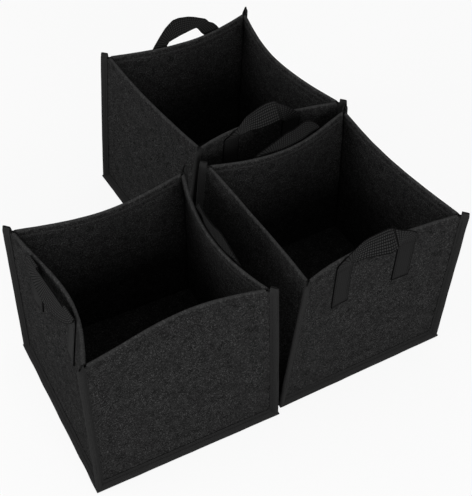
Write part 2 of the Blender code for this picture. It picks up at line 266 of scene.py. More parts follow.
def in_place(bag, points):
    """Points of a bag's own frame, turned and set down where the bag stands."""
    turn = math.radians(bag["turn"])
    c, s = math.cos(turn), math.sin(turn)
    return points @ np.array(((c, s, 0), (-s, c, 0), (0, 0, 1))) + bag["place"]


def unit(vectors):
    return vectors / np.maximum(np.linalg.norm(vectors, axis=-1, keepdims=True), 1e-12)


def diagonal(corner):
    return unit(np.array((*CORNERS[corner], 0.0)))


def wall_axes(wall):
    """Level directions along a wall from left to right, and out of it."""
    left, right = WALLS[wall]
    along = unit(np.array((*CORNERS[right], 0.0)) - np.array((*CORNERS[left], 0.0)))
    return along, np.array((along[1], -along[0], 0.0))


def climb(z):
    """Share of the way from the floor seam to the rim."""
    return np.clip((z - LIP_Z) / (WALL_HEIGHT - LIP_Z), 0, None)


def seam_root(bag, corner, z):
    """Line of a corner seam where it stands off the walls, at heights z."""
    draw = climb(z) ** DRAW_CURVE
    pulls = zip(CORNERS[corner], bag["draw"][corner])
    x, y = (side * (WALL_WIDTH / 2 - pull * draw) for side, pull in pulls)
    return np.stack((x, y, z), axis=-1)


def wave(points, seed):
    """Smooth noise of about -1 to 1 at rows of three numbers."""
    flat = points.reshape(-1, 3)
    values = [noise.noise(Vector((x + seed, y - seed, z + 0.5 * seed))) for x, y, z in flat]
    return np.array(values).reshape(points.shape[:-1])


def felt_middle(bag, wall, share, z):
    """Middle of a wall's felt at shares of its width and heights, in the bag's own frame."""
    share, z = np.broadcast_arrays(np.asarray(share, float), np.asarray(z, float))
    along, outward = wall_axes(wall)
    left, right = WALLS[wall]
    start = seam_root(bag, left, z) + unit(along + outward) * SEAM_SIDE
    end = seam_root(bag, right, z) + unit(outward - along) * SEAM_SIDE
    depth, deepest = bag["bow"][wall]
    inside = np.clip(share, 0, 1)
    bow = depth * np.sin(np.pi * inside ** (math.log(0.5) / math.log(deepest))) * climb(z) ** BOW_CURVE
    layer = np.full(share.shape, WALL_STEP * list(WALLS).index(wall))
    place = np.stack((inside * RIPPLES, z / WALL_HEIGHT * RIPPLES, layer), -1)
    held = np.sin(np.pi * inside) ** RIPPLE_CORNER * np.clip(climb(z) / RIPPLE_FOOT, 0, 1)
    held = held * np.clip(1 + RIPPLE_RIM - climb(z), 0, 1)
    ripple = RIPPLE * wave(place, bag["seed"]) * held
    return start + (end - start) * inside[..., None] + outward * (ripple - bow)[..., None]


def wall_share(bag, wall, place, z):
    """Share of a wall's width at true distances from its middle."""
    left, right = (felt_middle(bag, wall, np.full_like(z, end), z) for end in (0.0, 1.0))
    return 0.5 + place / np.linalg.norm(right - left, axis=-1)


SHARE_STEP = 0.004  # small steps along and up a wall that give its directions
RISE_STEP = 0.001


def off_felt(bag, wall, share, z, depth):
    """Points at a depth outside the middle of a wall's felt, and the directions out of it."""
    run = felt_middle(bag, wall, share + SHARE_STEP, z) - felt_middle(bag, wall, share - SHARE_STEP, z)
    up = felt_middle(bag, wall, share, z + RISE_STEP) - felt_middle(bag, wall, share, z - RISE_STEP)
    out = unit(np.cross(run, up))
    return felt_middle(bag, wall, share, z) + out * depth, out


def on_wall(bag, wall, place, z, depth):
    """The same at true distances from a wall's middle."""
    return off_felt(bag, wall, wall_share(bag, wall, place, z), z, depth)


def whole_cells(present):
    """Cells of a grid that have all four corners."""
    return present[:-1, :-1] & present[:-1, 1:] & present[1:, 1:] & present[1:, :-1]


def both_faces(middle, present, thickness):
    """Faces of a sheet given by its middle, with columns to the right and rows up as seen from outside."""
    cells = whole_cells(present)
    across = middle[1:, 1:] - middle[:-1, :-1]
    facing = unit(np.cross(across, middle[1:, :-1] - middle[:-1, 1:])) * cells[..., None]
    normal = np.zeros_like(middle)
    for row in (slice(0, -1), slice(1, None)):
        for column in (slice(0, -1), slice(1, None)):
            normal[row, column] += facing
    offset = unit(normal) * thickness / 2
    return middle + offset, middle - offset


SHARP_ANGLE = math.radians(50)
BACK_SHIFT = (1.0, 0.0)  # puts a back face's flat pattern a metre beside the front's


def sheet_piece(name, outer, inner, present, flat, material):
    """Closed sheet between two faces of a grid, with its flat pattern in metres as its UV map."""
    rows, columns = present.shape
    count = int(present.sum())
    index = np.full((rows, columns), -1)
    index[present] = np.arange(count)
    cells = whole_cells(present)
    a, b = index[:-1, :-1], index[:-1, 1:]
    c, d = index[1:, 1:], index[1:, :-1]
    faces = [np.stack((a, b, c, d), -1)[cells], np.stack((d, c, b, a), -1)[cells] + count]
    padded = np.pad(cells, 1)
    edges = (
        (a, b, padded[:-2, 1:-1]), (b, c, padded[1:-1, 2:]),
        (c, d, padded[2:, 1:-1]), (d, a, padded[1:-1, :-2]))
    for first, second, neighbour in edges:
        open_edge = cells & ~neighbour
        first, second = first[open_edge], second[open_edge]
        faces.append(np.stack((second, first, first + count, second + count), -1))
    mesh = bpy.data.meshes.new(name)
    points = np.concatenate((outer[present], inner[present]))
    mesh.from_pydata(points.tolist(), [], np.concatenate(faces).tolist())
    pattern = np.concatenate((flat[present], flat[present] + BACK_SHIFT))
    corners = np.zeros(len(mesh.loops), np.int32)
    mesh.loops.foreach_get("vertex_index", corners)
    mesh.uv_layers.new(name="flat").data.foreach_set("uv", pattern[corners].astype(np.float32).ravel())
    mesh.materials.append(material)
    mesh.polygons.foreach_set("use_smooth", np.ones(len(mesh.polygons), bool))
    mesh.set_sharp_from_angle(angle=SHARP_ANGLE)
    piece = bpy.data.objects.new(name, mesh)
    scene.collection.objects.link(piece)
    return piece


def steps(length, fine, step):
    """Distances from 0 to length, fine ones at first and then even ones."""
    even = max(2, round((length - fine[-1]) / step) + 1)
    return np.concatenate((fine[:-1], np.linspace(fine[-1], length, even)))


def flat_pattern(across, along):
    """Flat pattern of a grid with its columns at distances across it and its rows at distances along it."""
    return np.stack(np.broadcast_arrays(across[None, :], along[:, None]), -1)


FOLD_REACH = 3  # columns or rows to each side of a fold that are rounded with it
FOLD_PASSES = 5


def round_fold(middle, present, axis, place):
    """Rounds the fold of a sheet at one column or row by easing its neighbours together."""
    grid = middle if axis == 1 else middle.swapaxes(0, 1)
    there = present if axis == 1 else present.T
    for _ in range(FOLD_PASSES):
        eased = grid.copy()
        for line in range(place - FOLD_REACH, place + FOLD_REACH + 1):
            full = there[:, line - 1] & there[:, line] & there[:, line + 1]
            mean = (grid[:, line - 1] + 2 * grid[:, line] + grid[:, line + 1]) / 4
            eased[full, line] = mean[full]
        grid[:] = eased


# Distances at which a panel has columns and rows: from a fold, on the lips, about the hem's stitches
FINE = np.array((0, 0.0012, 0.0024, 0.0038, 0.0055, 0.008, 0.012))
FIN = np.array((SEAM_LIP, 0.0105, 0.008, 0.006, 0.0045, 0.003, 0.0015))
LIP = np.array((BASE_LIP, 0.007, 0.005, 0.0035, 0.0024, 0.0012))
GROOVE_ROWS = np.array((-0.0026, -0.0013, 0, 0.0013, 0.0026))
GROOVE_BELOW = 0.005
GROOVE_ABOVE = 0.0055
RIM_ROWS = 3
TURN_STEPS = 8
HEM_STEPS = 4


def wall_panel(bag, wall):
    """Middle of a wall panel with its folds, which of its points are there, and its flat pattern."""
    along, outward = wall_axes(wall)
    near = steps(WALL_WIDTH / 2, FINE, GRAIN)
    from_left = np.concatenate((near, WALL_WIDTH - near[-2::-1]))
    gap = np.minimum(from_left, WALL_WIDTH - from_left)
    share = from_left / WALL_WIDTH
    fins = len(FIN)
    columns = len(share) + 2 * fins
    wall_columns = slice(fins, columns - fins)
    below = LIP_Z + steps(HEM_ROW_Z - GROOVE_BELOW - LIP_Z, FINE, GRAIN)
    above = np.linspace(HEM_ROW_Z + GROOVE_ABOVE, HEM_AXIS_Z, RIM_ROWS)
    heights = np.concatenate((below, HEM_ROW_Z + GROOVE_ROWS, above))
    turns = np.linspace(0, np.pi, TURN_STEPS + 1)[1:]
    hem_heights = np.linspace(HEM_AXIS_Z, WALL_HEIGHT - HEM_DEPTH, HEM_STEPS + 1)[1:]
    first_wall, first_turn = len(LIP), len(LIP) + len(heights)
    rows = first_turn + len(turns) + len(hem_heights)
    middle = np.zeros((rows, columns, 3))
    present = np.zeros((rows, columns), bool)
    groove = HEM_GROOVE * np.exp(-((heights - HEM_ROW_Z) / HEM_GROOVE_WIDTH) ** 2)
    body = felt_middle(bag, wall, share[None, :], heights[:, None]) - outward * groove[:, None, None]
    middle[first_wall:first_turn, wall_columns] = body
    present[:first_turn, wall_columns] = True
    mitre = np.clip(1 - gap / LIP_MITRE, 0, 1) * np.sign(share - 0.5)
    for row, reach in enumerate(LIP):
        middle[row, wall_columns] = body[0] + outward * reach + along * (mitre * reach)[:, None]
    seam_rows = np.arange(first_wall, first_turn)[heights >= SEAM_BOTTOM]
    for side, corner in enumerate(WALLS[wall]):
        for place, reach in enumerate(FIN):
            column = place if side == 0 else columns - 1 - place
            root = body[seam_rows - first_wall, -side]
            middle[seam_rows, column] = root + diagonal(corner) * reach
            present[seam_rows, column] = True
    rim = body[-1]
    inward = unit(np.cross(UP, np.gradient(rim, axis=0)))
    clear = FELT / 2 + 2 * SEWN
    for row, turn in enumerate(turns, first_turn):
        over = inward * HEM_TURN * (1 - math.cos(turn)) + UP * HEM_TURN * math.sin(turn)
        middle[row, wall_columns] = rim + over
        present[row, wall_columns] = gap >= HEM_TURN * (1 - math.cos(turn)) + clear
    for row, z in enumerate(hem_heights, first_turn + len(turns)):
        behind = felt_middle(bag, wall, share, np.full(share.shape, z))
        middle[row, wall_columns] = behind + inward * 2 * HEM_TURN
        present[row, wall_columns] = gap >= 2 * HEM_TURN + clear
    round_fold(middle, present, 1, fins)
    round_fold(middle, present, 1, columns - fins - 1)
    round_fold(middle, present, 0, first_wall)
    u = np.concatenate((-FIN, from_left, WALL_WIDTH + FIN[::-1]))
    over = np.concatenate((HEM_TURN * turns, np.pi * HEM_TURN + HEM_AXIS_Z - hem_heights))
    v = np.concatenate((-LIP, heights - LIP_Z, HEM_AXIS_Z - LIP_Z + over))
    return middle, present, flat_pattern(u, v)


# Felt gives a dead black that the pale ends of its matted fibres fleck with grey. The flecks are drawn
# about 1 mm wide, far wider than one fibre, so that they show at the size of the picture. A painted
# highlight pales the felt along the fold of the rim and along the row of stitches inside the hem.
FELT_GROUND = "#171717"
FELT_LIGHT = "#262626"
FELT_FIBRE = "#5a5a5a"
FELT_PAINTED_HIGHLIGHT = "#565656"
FIBRE_LENGTH = 0.0046
FIBRE_WIDTH = 0.0012
FIBRE_LAYS = (8, 44, 79, 116, 152)  # degrees
FIBRE_APART = (0.37, 0.21, 0.0)  # from one lay of fibres to the next in the noise
FIBRE_SPAN = (0.61, 0.79)  # noise that shows as a fibre
MAT_SIZE = 0.014
MAT_SPAN = (0.35, 0.68)  # noise from the darkest ground to the palest
PATCH_SIZE = 0.032
PATCH_SPAN = (0.32, 0.68)
MATTED = (0.42, 0.78)  # how strongly the fibres show, from patch to patch
HIGHLIGHT_LINE_WIDTH = 0.0028
RIDGE = HEM_AXIS_Z - LIP_Z + HEM_TURN * math.pi / 2
HEM_ROW_V = 2 * RIDGE - (HEM_ROW_Z - LIP_Z)
HIGHLIGHT_LINES = ((RIDGE, 0.25), (HEM_ROW_V, 0.20))


def tinted(tree, share, first, second):
    """Colour at a share of the way between two colours."""
    return add(tree, "ShaderNodeMix", {"Factor": share, 6: first, 7: second}, data_type="RGBA").outputs[2]


def surfaced(tree, output, inputs):
    """Ends a material in a surface with the given inputs."""
    surface = add(tree, "ShaderNodeBsdfPrincipled", inputs)
    tree.links.new(surface.outputs[0], output.inputs["Surface"])


felt, tree, output = new_material("needle_punched_polyester_felt")
flat_map = add(tree, "ShaderNodeUVMap", uv_map="flat").outputs["UV"]
height = add(tree, "ShaderNodeTexNoise", {
    "Vector": flat_map, "Scale": 1 / MAT_SIZE, "Detail": 4.0, "Roughness": 0.65}).outputs["Fac"]
colour = tinted(tree, ranged(tree, height, MAT_SPAN), linear(FELT_GROUND), linear(FELT_LIGHT))
patch = add(tree, "ShaderNodeTexNoise", {"Vector": flat_map, "Scale": 1 / PATCH_SIZE, "Detail": 2.0})
matted = ranged(tree, patch.outputs["Fac"], PATCH_SPAN, MATTED)
for layer, angle in enumerate(FIBRE_LAYS):
    lay = add(tree, "ShaderNodeMapping", {
        "Vector": flat_map, "Location": [layer * apart for apart in FIBRE_APART],
        "Rotation": (0, 0, math.radians(angle)), "Scale": (FIBRE_LENGTH, FIBRE_WIDTH, 1.0)},
        vector_type="TEXTURE")
    bend = add(tree, "ShaderNodeTexNoise", {
        "Vector": lay.outputs[0], "Scale": 1.0, "Detail": 1.0, "Distortion": 0.4})
    strand = ranged(tree, bend.outputs["Fac"], FIBRE_SPAN, (0.0, matted))
    colour = tinted(tree, strand, colour, linear(FELT_FIBRE))
    height = maths(tree, "ADD", height, strand)
up_panel = add(tree, "ShaderNodeSeparateXYZ", {0: flat_map}).outputs["Y"]
# painted highlight: pale lines along the rim's fold and along the hem's inner stitch row
for line, highlight_strength in HIGHLIGHT_LINES:
    apart = maths(tree, "ABSOLUTE", maths(tree, "SUBTRACT", up_panel, line))
    highlight = ranged(tree, apart, (HIGHLIGHT_LINE_WIDTH, HIGHLIGHT_LINE_WIDTH / 4), (0.0, highlight_strength))
    colour = tinted(tree, highlight, colour, linear(FELT_PAINTED_HIGHLIGHT))
fuzz = add(tree, "ShaderNodeBump", {"Height": height, "Strength": 0.35, "Distance": 0.0006})
surfaced(tree, output, {
    "Base Color": colour, "Roughness": 0.95, "Normal": fuzz.outputs[0], "Specular IOR Level": 0.0})

felt_pieces = {}
for name, bag in BAGS.items():
    for wall in WALLS:
        middle, present, flat = wall_panel(bag, wall)
        lumps = wave(middle / LUMP_SIZE, bag["seed"]) * LUMP
        outer, inner = both_faces(in_place(bag, middle), present, FELT)
        push = unit(outer - inner) * lumps[..., None]
        piece = sheet_piece(f"{name}_{wall}_felt", outer + push, inner + push, present, flat, felt)
        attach(piece, name)
        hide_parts(f"{name}_{wall}_wall")
        felt_pieces[name, wall] = piece


# Floor panels: one square of the same felt to a bag, flat on the ground. Its edge is lifted over the tape
# that wraps it and is sewn under the lips of the four walls.
WALL_PLANE = WALL_WIDTH / 2 + SEAM_SIDE / math.sqrt(2)
LIP_EDGE = WALL_PLANE + BASE_LIP
BASE_RAMP = 0.008
FLOOR_FINE = np.array((0, 0.003, 0.006, 0.009, 0.012, 0.016, 0.02))
FLOOR_GRAIN = 0.009
FLOOR_SWELL = 0.0016  # soft rises of a floor that lies loose in its middle
SWELL_SIZE = 0.09
SWELL_EDGE = 0.125  # from the middle of the floor, where they end
SWELL_FADE = 0.05
FLOOR_SEED = 4.0
FLOOR_SHIFT = 2.0  # keeps the floor's flat pattern apart from the walls'


def smooth(share):
    """Share that starts and stops gently."""
    return share * share * (3 - 2 * share)


for name, bag in BAGS.items():
    edge = steps(LIP_EDGE, FLOOR_FINE, FLOOR_GRAIN)
    line = np.concatenate((-LIP_EDGE + edge, LIP_EDGE - edge[-2::-1]))
    x, y = np.meshgrid(line, line)
    reach = np.maximum(np.abs(x), np.abs(y))
    ramp = np.clip((reach - (WALL_PLANE - FELT / 2 - BASE_RAMP)) / BASE_RAMP, 0, 1)
    lift = BASE_EDGE_Z * smooth(ramp)
    grid = np.stack((x, y, np.zeros_like(x)), -1)
    swell = np.clip(wave(grid / SWELL_SIZE, bag["seed"] + FLOOR_SEED), 0, 1) * FLOOR_SWELL
    swell = swell * np.clip((SWELL_EDGE - reach) / SWELL_FADE, 0, 1)
    grid[..., 2] = FELT / 2 + lift + swell
    present = np.ones(x.shape, bool)
    outer, inner = both_faces(in_place(bag, grid), present, FELT)
    piece = sheet_piece(f"{name}_floor_felt", outer, inner, present, grid[..., :2] + FLOOR_SHIFT, felt)
    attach(piece, name)
    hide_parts(f"{name}_base")


# Corner tapes: a smooth black non-woven polypropylene tape folded over the two felt edges of each corner
# seam and sewn through. Its end is left standing above the rim, where it pinches flat.
TAPE_ROOT = 0.0025
TAPE_NUB = 0.006
TAPE_STEP = 0.005
TAPE_ARC = 8  # steps round the fold of a tape
TAPE_FLANK = 4  # steps on each side of it
TAPE_WAVE = 0.0006
TAPE_WAVES = 21.0  # steps in the noise to a metre
TAPE_APART = 5.0  # from tape to tape in the noise
NUB_PINCH = 0.40  # thickness of a nub's end as a share of the tape's
NUB_SHUT = 0.12  # how much more its inside closes
NUB_DRAW = 0.0012  # how far its tip draws in
NUB_START = 0.003  # below the rim
NUB_ROWS_START = 0.004
NUB_ROWS = 8
TAPE_INNER = SEAM_SIDE + FELT / 2 + SEWN
TAPE_OUTER = TAPE_INNER + TAPE
TAPE_TIP = SEAM_LIP + SEWN + TAPE

# Non-woven tape is fine and even, a little slicker than felt, with the small pits of its bonding roller.
TAPE_DARK = "#191919"
TAPE_LIGHT = "#373737"
BOND_SPACING = 0.0016
BOND_SPAN = (0.12, 0.42)  # from the bottom of a pit to its edge, in spacings
tape, tree, output = new_material("non_woven_polypropylene_tape")
flat_map = add(tree, "ShaderNodeUVMap", uv_map="flat").outputs["UV"]
cloud = add(tree, "ShaderNodeTexNoise", {
    "Vector": flat_map, "Scale": 420.0, "Detail": 4.0, "Roughness": 0.7}).outputs["Fac"]
pits = add(tree, "ShaderNodeTexVoronoi", {
    "Vector": flat_map, "Scale": 1 / BOND_SPACING, "Randomness": 0.25}).outputs["Distance"]
tone = maths(tree, "MULTIPLY", cloud, ranged(tree, pits, BOND_SPAN))
colour = tinted(tree, tone, linear(TAPE_DARK), linear(TAPE_LIGHT))
relief = add(tree, "ShaderNodeBump", {"Height": tone, "Strength": 0.25, "Distance": 0.0003})
surfaced(tree, output, {
    "Base Color": colour, "Roughness": 0.72, "Normal": relief.outputs[0], "Specular IOR Level": 0.012})


def folded_tape(root, tip, side):
    """Distances out and across of a tape folded over an edge, from one cut edge to the other."""
    turns = np.linspace(np.pi / 2, -np.pi / 2, TAPE_ARC + 1)
    flank = np.linspace(root, tip - side, TAPE_FLANK + 1)[:-1]
    flat = np.full(TAPE_FLANK, side)
    out = np.concatenate((flank, tip - side + side * np.cos(turns), flank[::-1]))
    return out, np.concatenate((flat, side * np.sin(turns), -flat))


def run_along(points):
    """Distance of each point of a line from its first."""
    return np.concatenate(([0], np.cumsum(np.linalg.norm(np.diff(points, axis=0), axis=-1))))


seam_rows = []
for name, bag in BAGS.items():
    for corner in CORNERS:
        out = diagonal(corner)
        across = np.array((-out[1], out[0], 0.0))
        top = WALL_HEIGHT + TAPE_NUB
        heights = np.concatenate((np.arange(SEAM_BOTTOM, WALL_HEIGHT - TAPE_STEP, TAPE_STEP),
                                  np.linspace(WALL_HEIGHT - NUB_ROWS_START, top, NUB_ROWS)))
        root = seam_root(bag, corner, np.minimum(heights, HEM_AXIS_Z))
        root[:, 2] = heights
        pinch = np.clip((heights - (WALL_HEIGHT - NUB_START)) / (TAPE_NUB + NUB_START), 0, 1)
        apart = TAPE_APART * len(seam_rows)
        wobble = np.array([noise.noise(Vector((z * TAPE_WAVES, bag["seed"], apart))) for z in heights])
        narrow = 1 - (1 - NUB_PINCH) * smooth(pinch)
        sway = wobble * TAPE_WAVE - NUB_DRAW * pinch
        faces = []
        for side, tip, shut in ((TAPE_OUTER, TAPE_TIP, 0), (TAPE_INNER, TAPE_TIP - TAPE, NUB_SHUT)):
            reach, offset = folded_tape(TAPE_ROOT, tip, side)
            reach = reach[None, :] + sway[:, None] * (reach / TAPE_TIP)[None, :]
            offset = offset[None, :] * (narrow - shut * pinch)[:, None]
            face = root[:, None] + out * reach[..., None] - across * offset[..., None]
            faces.append(in_place(bag, face))
        seam_rows.append((name, corner, root))
        present = np.ones(faces[0].shape[:2], bool)
        across_tape = run_along(np.stack(folded_tape(TAPE_ROOT, TAPE_TIP, TAPE_OUTER), -1))
        flat = flat_pattern(across_tape + len(seam_rows), heights)
        piece = sheet_piece(f"{name}_{corner}_tape", *faces, present, flat, tape)
        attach(piece, name)
        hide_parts(f"{name}_{corner}_binding")


# Floor tapes: the same tape folded over the floor seam of each bag on all four sides and sewn through
# the wall lips and the floor panel. Its upper edge stands up a little against the foot of the wall.
BINDING_FLAP = 0.0065
FLAP_CURVE = 1.3
BINDING_STEPS = 56  # along each side
BINDING_WAVES = 6.0  # steps in the noise to half a side
BINDING_SEED = 7.0
BINDING_SHIFT = 40.0  # keeps its flat pattern apart from the corner tapes'
BINDING_EDGE = LIP_EDGE + SEWN + TAPE
BINDING_ROOT = WALL_PLANE + FELT / 2 + 2 * SEWN


def flap_rise(reach):
    """How far the tape's upper side has risen at distances out from the middle of its bag."""
    from_tip = np.clip((BINDING_EDGE - reach) / (BINDING_EDGE - BINDING_ROOT), 0, 1)
    return BINDING_FLAP * from_tip ** FLAP_CURVE


for name, bag in BAGS.items():
    half = BINDING_TOP / 2
    places = np.linspace(-1, 1, BINDING_STEPS + 1)[:-1]
    rows = []
    for wall in WALLS:
        along, outward = wall_axes(wall)
        rows += [along * place + outward for place in places]
    rows.append(rows[0])
    rows = np.array(rows)
    sway = wave(rows * BINDING_WAVES, bag["seed"] + BINDING_SEED)[:, None] * TAPE_WAVE
    sway[np.arange(0, len(rows), len(places))] = 0
    faces = []
    for side, tip in ((half, BINDING_EDGE), (half - TAPE, BINDING_EDGE - TAPE)):
        reach, offset = folded_tape(BINDING_ROOT, tip, side)
        reach = reach[None, :] + sway * ((reach - BINDING_ROOT) / (BINDING_EDGE - BINDING_ROOT))[None, :]
        points = rows[:, None] * reach[..., None]
        points[..., 2] = half + offset + flap_rise(reach) * np.clip(offset / side, 0, 1)
        faces.append(in_place(bag, points))
    present = np.ones(faces[0].shape[:2], bool)
    across_tape = run_along(np.stack(folded_tape(BINDING_ROOT, BINDING_EDGE, half), -1))
    length = np.arange(len(rows)) * (8 * LIP_EDGE / (len(rows) - 1))
    flat = flat_pattern(across_tape + BINDING_SHIFT, length)
    piece = sheet_piece(f"{name}_floor_tape", *faces, present, flat, tape)
    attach(piece, name)
    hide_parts(f"{name}_base_binding")


# Handles: two to a bag, each one length of black polypropylene webbing 32 mm wide in a coarse basket weave.
# Its ends are sewn flat to the outside of the wall and its middle lies over the rim as a low, creased loop.
WEBBING_WIDTH = 0.032
WEBBING = 0.0022
TAIL_SPACING = 0.118
TAIL_LENGTH = 0.098
TAIL_SEAM = 0.022
HANDLE_SHIFT = 0.010
FOLD_GAP = 0.0002
WEAVE_CELLS = 8  # yarns across, drawn about twice as wide as real ones so that they show
CELL_STEPS = 4
WEAVE_RELIEF = 0.00030
CREASE_EASE = 4  # rows over which a crease is rounded
LOOP_STEPS = 240  # points on an even loop before it is divided into rows
CELL = WEBBING_WIDTH / WEAVE_CELLS
ROW = CELL / CELL_STEPS
BEAD = WEBBING + FOLD_GAP
FOLD_Z = WALL_HEIGHT + BEAD + SEWN
TAIL_Z = WALL_HEIGHT - TAIL_LENGTH
TAIL_SEAM_Z = WALL_HEIGHT - TAIL_SEAM
CREASED_FROM = FOLD_Z - 0.017
WALL_CLEAR = 0.0012  # from this far below the fold line a creased loop keeps off its wall
BEND_RISE = 0.0028  # height of the bend between a tail and a loop that has fallen
BEND_STEPS = 6
BOX_INSET = 0.004  # stitches of a tail from its edges
SLACK_RUN = 0.02  # from the last stitches of a tail to where its weave stands free
TAIL_RELIEF = 0.4  # share of the weave's relief on a tail
PILLOW = 0.7  # power of a float's rise, lower is fuller

# FALLEN_PLACE is a point near the fold line, given as inward and up, for a loop that has fallen; the
# script works it out for that loop but nothing uses it.
FALLEN_PLACE = (-0.00027, -0.002)

# A creased loop lists its strap's upper and lower edge in mm from the fold line's middle: right, inward and
# up as seen from outside. One loop is even: it rises, pinches in, tilts and has fallen outward, in degrees.
LOOPS = {
    ("right_bag", "front"): (
        (-75, 0.6, -14, -45, 1, -13), (-72, 1, -9, -48, 0.5, -11), (-60, 2.5, -2, -50, -0.5, -11),
        (-45, 5, 6, -50, -2, -10.5), (-27, 7, 16, -46, -5, -9), (-15, 8, 18, -28, -9, -5),
        (5, 8.5, 19, -6, -13, -7), (20, 8.5, 20, 14, -15.5, -10), (26, 6, 20.5, 32, -10, -14),
        (28, 9, 20, 35.5, 2.0, -16), (30, 3, 19, 38, -5.5, -16), (42, 1, 12, 41, -3.5, -16),
        (60, 0.8, 3, 43, -0.5, -15), (75, 0.3, -9, 43, 0, -14)),
    ("right_bag", "back"): (
        (-75, 0.6, -14, -44, 1, -14), (-71, 0.6, -7, -45, 1, -13), (-64, 0.8, 4, -45, 1.5, -12),
        (-55, 1.5, 13, -43, 3, -10), (-44, 2.5, 22, -38, 5, -9), (-31, 3.5, 27, -29, 7, -7),
        (-22, 4, 25, -19, 8, -7), (-8, 4, 20, -6, 8.5, -9), (7, 4, 20, 8, 8.5, -9), (22, 4, 15, 20, 8, -10),
        (36, 3.5, 10, 30, 6, -11), (49, 2.5, 5, 38, 4, -12), (61, 1.5, 0, 42, 1.5, -13),
        (68, 1, -5, 43, 1, -14), (75, 0.6, -10, 43, 1, -14)),
    ("back_bag", "front"): (
        (-75, 0.6, -14, -44, 1, -13), (-71, 1, -10, -45, 0.5, -12), (-60, 1.5, -5, -46, 0, -10),
        (-45, 4, 5, -45, -4, -7), (-31, 6, 20, -40, -8, -3), (-18, 8.5, 23, -31.6, -10, 1),
        (-4, 11, 26.5, -12, -11, -1), (9.5, 13, 28.5, 8, -11, 0), (22, 13, 29, 20, -10, 1),
        (26.6, 12.5, 28.5, 27.6, -9.4, 1), (29, 11, 27, 34, 0, -6), (34, 7, 24, 39, -4, -8),
        (50, 4, 14, 42, -1.5, -11), (62, 1, 4, 43, 0, -13), (75, 0.6, -9, 43, 0.3, -14)),
    ("back_bag", "back"): (
        (-75, 1.3, -14, -43, 1.3, -14), (-70, 1.3, -7, -36, 1.3, -10), (-66, 1, -1, -30, 1.5, -3),
        (-61, 0, 5, -25, 2.5, 5), (-55, -1, 10, -20, 3.5, 11.5), (-49, -1, 12.5, -16.5, 4, 13.5),
        (-43, -4, 20, -13, 5, 13), (-20, -5, 31, -6, 5, 12), (-7, -5, 36, 3, 5, 10.5),
        (14, -5, 40, 14.5, 5, 8.7), (27, -4.5, 39, 23, 4.5, 6), (43, -3, 28, 32, 3, 2.5),
        (56, -1, 14, 38, 1.5, -1), (68, 1, 0, 42, 1.3, -7), (75, 1.3, -11, 43, 1.3, -13)),
    ("front_bag", "right"): (
        (-75, 0.6, -14, -44, 1, -14), (-71, 1, -8, -45, 1.5, -13), (-63, 2, -1, -45, 2.5, -13),
        (-52, 4, 7, -44, 4, -12), (-38, 6, 15, -38, 6, -11), (-24, 7.5, 22, -26, 8, -9),
        (-14, 8, 23, -12, 8.5, -8), (2, 8, 18, 4, 8.5, -9), (18, 7, 15, 18, 8, -10),
        (32, 6, 13, 30, 6.5, -11), (43, 5, 13, 37, 5, -11), (50, 4.5, 16, 40, 3.5, -11),
        (57, 4, 18, 42, 2, -12), (63, 1, 12, 43, 1.5, -13), (68, 0.6, 3, 43, 1, -14),
        (75, 0.6, -9, 43, 1, -14)),
    ("front_bag", "left"): {"fall": 166, "rise": 0.018, "pinch": 0.20, "tilt": 8},
}

# Polypropylene yarn is dull black. Each float of the weave has a painted highlight on its crown and painted
# shade in the grooves round it. Where a tail is sewn down its weave is pressed flat and its painted light and
# shade show less.
WEBBING_GROOVE_SHADE = "#080808"
WEBBING_CROWN_HIGHLIGHT = "#3c3c3c"
YARNS = 5  # strands in a float
YARN_DIP = 0.55  # painted shade between two strands, as a share of a strand's tone
FLOAT_SPAN = (0.47, 0.17)  # from the groove round a float to its crown, in cells
PRESSED = (0.24, 0.42)  # tones of a weave that is pressed flat
EDGE_SHADE_WIDTH = 0.0022  # width of the painted shade drawn as a dark outline along a strap's edges, and at the end of a tail
EDGE_SHADE_SPAN = (0.0006, EDGE_SHADE_WIDTH)
EDGE_SHADE_TONE = 0.1
END_SHADE_RUN = 2.0  # edge widths from a strap's end to where its painted shade ends
webbing, tree, output = new_material("polypropylene_webbing")
flat_map = add(tree, "ShaderNodeUVMap", uv_map="flat").outputs["UV"]
slack_and_end_shade = add(tree, "ShaderNodeAttribute", attribute_name="slack_and_end_shade").outputs["Fac"]
cells = add(tree, "ShaderNodeVectorMath", {
    0: flat_map, 1: (1 / CELL, 1 / CELL, 0)}, operation="MULTIPLY").outputs[0]
inside = add(tree, "ShaderNodeVectorMath", {0: cells}, operation="FRACTION")
centred = add(tree, "ShaderNodeVectorMath", {
    0: inside.outputs[0], 1: (0.5, 0.5, 0)}, operation="SUBTRACT")
parts = add(tree, "ShaderNodeSeparateXYZ", {0: centred.outputs[0]}).outputs
edge = maths(tree, "MAXIMUM", *(maths(tree, "ABSOLUTE", parts[axis]) for axis in (0, 1)))
strands = []
for axis in (0, 1):
    phase = maths(tree, "MULTIPLY", parts[axis], 2 * math.pi * YARNS)
    strands.append(ranged(tree, maths(tree, "COSINE", phase), (-1.0, 1.0), (YARN_DIP, 1.0)))
lifted = add(tree, "ShaderNodeVectorMath", {0: cells, 1: (0, 0, 0.5)}, operation="ADD")
over = add(tree, "ShaderNodeTexChecker", {"Vector": lifted.outputs[0], "Scale": 1.0}).outputs["Fac"]
strand = add(tree, "ShaderNodeMix", {"Factor": over, 2: strands[0], 3: strands[1]}, data_type="FLOAT")
tone = maths(tree, "MULTIPLY", ranged(tree, edge, FLOAT_SPAN), strand.outputs[0])
pressed = ranged(tree, tone, (0.0, 1.0), PRESSED)
shown = add(tree, "ShaderNodeMix", {"Factor": slack_and_end_shade, 2: pressed, 3: tone}, data_type="FLOAT").outputs[0]
